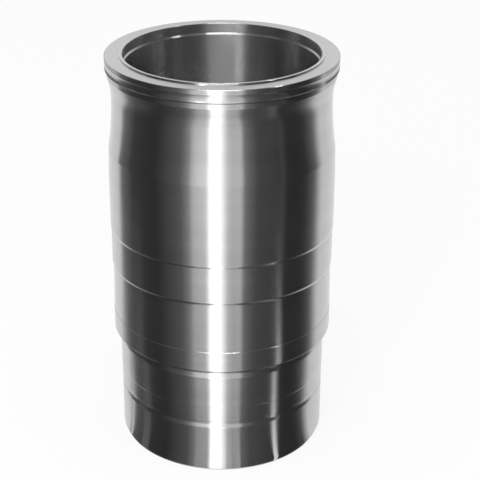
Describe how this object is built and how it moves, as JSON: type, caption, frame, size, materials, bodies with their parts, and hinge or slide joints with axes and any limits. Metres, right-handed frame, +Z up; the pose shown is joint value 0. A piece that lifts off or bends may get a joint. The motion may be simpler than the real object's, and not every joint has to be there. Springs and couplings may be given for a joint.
{
  "type": "cylinder liner",
  "caption": "Wet cylinder liner: a thick open tube with a top flange and fire lip, a slim neck, a stepped barrel and a lower pilot with a seal groove.",
  "frame": {"origin": "centre of the foot face, on the bore axis", "axes": "+Z up the bore axis from the foot to the flange; round about Z, so +X and +Y are free"},
  "size_m": [0.1536, 0.1536, 0.2774],
  "materials": {
    "machined_iron": "fine turned and ground bright outside, honed satin bore"
  },
  "bodies": {
    "root": {"cylinder_liner": "machined_iron"}
  },
  "joints": []
}
